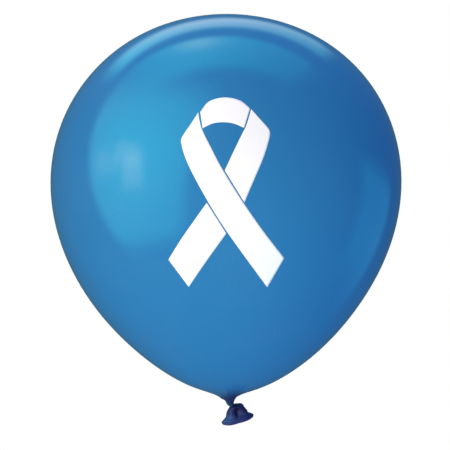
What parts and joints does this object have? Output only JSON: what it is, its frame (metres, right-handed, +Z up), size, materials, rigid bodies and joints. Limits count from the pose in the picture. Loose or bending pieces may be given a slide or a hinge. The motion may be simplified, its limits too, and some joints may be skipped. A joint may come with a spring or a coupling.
{
  "type": "printed latex balloon",
  "caption": "Round latex balloon, filled and knotted at its neck, with a folded ribbon loop printed in white on its front.",
  "frame": {"origin": "the middle of the neck's waist, where a string or a stick cup holds the balloon", "axes": "+Z up from the waist towards the crown, -Y out of the printed front, +X to the right of the print as it is seen"},
  "size_m": [0.3, 0.3005, 0.3505],
  "materials": {
    "stretched_latex": "glossy, slightly see-through, pulled thin",
    "unstretched_latex": "satin, dense, slack",
    "white_ink": "thin elastic printing ink, low sheen"
  },
  "bodies": {
    "root": {"envelope": "stretched_latex", "throat": "stretched_latex", "neck": "unstretched_latex", "knot_core": "unstretched_latex", "knot_loop": "unstretched_latex", "tail": "unstretched_latex", "tail_bead": "unstretched_latex", "print_loop": "white_ink", "print_front_leg": "white_ink", "print_back_leg_upper": "white_ink", "print_back_leg_lower": "white_ink"}
  },
  "joints": []
}
